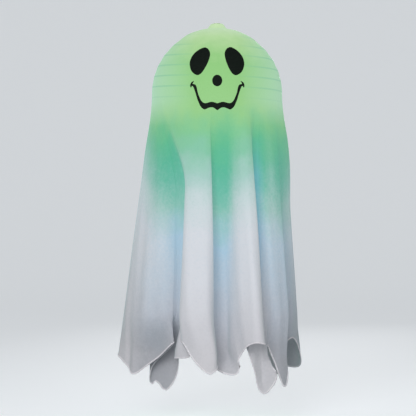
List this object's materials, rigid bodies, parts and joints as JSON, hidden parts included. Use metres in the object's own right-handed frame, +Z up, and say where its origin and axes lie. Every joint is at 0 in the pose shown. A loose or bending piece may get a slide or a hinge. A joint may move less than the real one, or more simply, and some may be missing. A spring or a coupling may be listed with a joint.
{
  "type": "ghost lantern",
  "caption": "Hanging battery-lit ghost: a round wire-ribbed lantern under a thin folded cloth with a printed face, light unit with sliding battery door and slide switch inside.",
  "frame": {"origin": "middle of the hanging eyelet, at the top of its flange", "axes": "+Z up along the eyelet's bore, -Y towards the viewer of the printed face, +X to that viewer's right"},
  "size_m": [0.3007, 0.2921, 0.602],
  "materials": {
    "drape_cloth": "matte",
    "shade_cloth": "matte",
    "face_ink": "matte",
    "coated_wire": "satin",
    "plain_wire": "satin",
    "bright_metal": "satin",
    "case_plastic": "matte",
    "cell_wrap": "satin",
    "board_laminate": "satin",
    "chip_resin": "matte",
    "resistor_body": "satin",
    "lamp_resin": "gloss",
    "frosted_plastic": "matte",
    "slider_plastic": "matte"
  },
  "bodies": {
    "lantern": {"ghost_drape": "drape_cloth", "crown_eyelet": "bright_metal", "eyelet_washer": "bright_metal", "lantern_shade": "shade_cloth", "rib_wire": "coated_wire", "top_ring": "coated_wire", "bottom_ring": "coated_wire", "expander_frame": "plain_wire", "hanger_cap": "case_plastic", "hang_pin": "bright_metal", "front_shell": "case_plastic", "rear_shell": "case_plastic", "battery_1": "cell_wrap", "battery_2": "cell_wrap", "battery_3": "cell_wrap", "contact_plates": "bright_metal", "contact_springs": "bright_metal", "circuit_board": "board_laminate", "controller_chip": "chip_resin", "led_resistors": "resistor_body", "led_lamps": "lamp_resin", "led_diffuser": "frosted_plastic", "switch_body": "bright_metal", "shell_screws": "bright_metal", "board_screws": "bright_metal"},
    "door": {"battery_door": "case_plastic"},
    "slider": {"switch_slider": "slider_plastic"}
  },
  "joints": [
    {"name": "door_slide", "type": "slide", "parent": "lantern", "child": "door", "axis": [0, 0, -1], "range_m": [0, 0.06]},
    {"name": "switch_slide", "type": "slide", "parent": "lantern", "child": "slider", "axis": [0, 0, -1], "range_m": [0, 0.004]}
  ]
}
